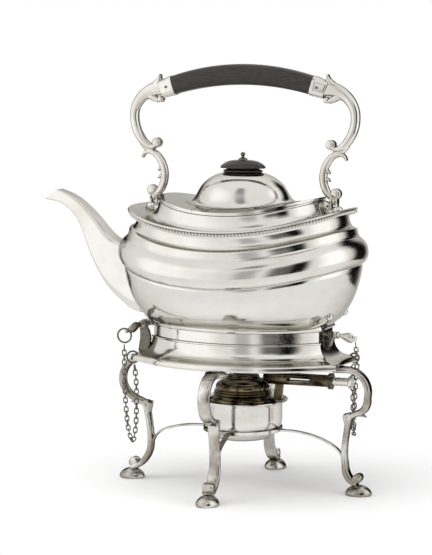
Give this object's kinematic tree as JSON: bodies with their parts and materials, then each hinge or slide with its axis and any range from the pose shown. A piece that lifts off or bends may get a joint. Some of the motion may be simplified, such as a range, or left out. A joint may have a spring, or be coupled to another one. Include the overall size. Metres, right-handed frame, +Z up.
{
  "type": "tilting spirit kettle",
  "caption": "Tilting silver-plated table kettle with swing handle and hinged lid, on a scroll-legged stand with a spirit lamp, held by two chained pins.",
  "frame": {"origin": "on the table, at the middle between the four feet", "axes": "+Z up; +X along the kettle towards its locking pin, with the spout at -X; +Y towards the lid's hinge at the back"},
  "size_m": [0.2736, 0.1712, 0.331],
  "materials": {
    "silver_plate": "polished silver plate, a little worn",
    "ebonised_wood": "ebonised wood, worn satin",
    "burner_metal": "dark patinated brass",
    "wick": "woven cotton",
    "chain_metal": "dull plated wire"
  },
  "bodies": {
    "stand": {"stand_frame": "silver_plate", "frame_rings": "silver_plate", "hinge_post_front": "silver_plate", "hinge_post_back": "silver_plate", "lock_lug": "silver_plate", "leg_right": "silver_plate", "leg_back": "silver_plate", "leg_left": "silver_plate", "leg_front": "silver_plate", "foot_right": "silver_plate", "foot_back": "silver_plate", "foot_left": "silver_plate", "foot_front": "silver_plate", "stretcher_right": "silver_plate", "stretcher_back": "silver_plate", "stretcher_left": "silver_plate", "stretcher_front": "silver_plate", "lamp_ring": "silver_plate", "chain_left": "chain_metal", "chain_right": "chain_metal"},
    "kettle": {"kettle_body": "silver_plate", "rim_and_collar": "silver_plate", "top_plate": "silver_plate", "foot_band": "silver_plate", "hinge_knuckle": "silver_plate", "spout": "silver_plate", "end_leaf_right": "silver_plate", "end_leaf_left": "silver_plate", "handle_lug_right": "silver_plate", "handle_lug_left": "silver_plate", "handle_pins": "silver_plate", "lid_hinge_leaf": "silver_plate", "lid_hinge_pin": "silver_plate"},
    "lid": {"lid_shell": "silver_plate", "lid_knuckle": "silver_plate", "finial_base": "ebonised_wood", "finial_disc": "ebonised_wood", "finial_nut": "silver_plate", "finial_screw": "silver_plate"},
    "handle": {"grip": "ebonised_wood", "ferrule_right": "silver_plate", "ferrule_left": "silver_plate", "grip_rivets": "silver_plate", "scroll_right": "silver_plate", "scroll_left": "silver_plate"},
    "tilt_pin": {"hinge_pin": "silver_plate", "hinge_pin_ring": "silver_plate"},
    "lock_pin": {"lock_pin": "silver_plate"},
    "lamp": {"lamp_cup": "silver_plate", "lamp_flange": "silver_plate", "burner_dome": "burner_metal", "wick_tube": "burner_metal", "wick": "wick", "regulator_sleeve": "silver_plate", "sleeve_bracket": "silver_plate"},
    "regulator": {"regulator_rod": "silver_plate", "regulator_knob": "silver_plate"}
  },
  "joints": [
    {"name": "kettle_tilt", "type": "hinge", "parent": "stand", "child": "kettle", "pos_m": [-0.0765, 0, 0.1279], "axis": [0, -1, 0], "range_deg": [0, 45]},
    {"name": "lid_hinge", "type": "hinge", "parent": "kettle", "child": "lid", "pos_m": [0, 0.0474, 0.2197], "axis": [-1, 0, 0], "range_deg": [0, 80]},
    {"name": "handle_swing", "type": "hinge", "parent": "kettle", "child": "handle", "pos_m": [0, 0, 0.2268], "axis": [-1, 0, 0], "range_deg": [-36, 36]},
    {"name": "tilt_pin_slide", "type": "slide", "parent": "stand", "child": "tilt_pin", "axis": [0, -1, 0], "range_m": [0, 0.042], "deforming": ["chain_left"]},
    {"name": "lock_pin_slide", "type": "slide", "parent": "stand", "child": "lock_pin", "axis": [1, 0, 0], "range_m": [0, 0.014], "deforming": ["chain_right"]},
    {"name": "lamp_turn", "type": "hinge", "parent": "stand", "child": "lamp", "pos_m": [0, 0, 0.0484], "axis": [0, 0, 1], "range_deg": [-30, 0]},
    {"name": "regulator_slide", "type": "slide", "parent": "lamp", "child": "regulator", "axis": [1, 0, 0], "range_m": [-0.012, 0]}
  ]
}
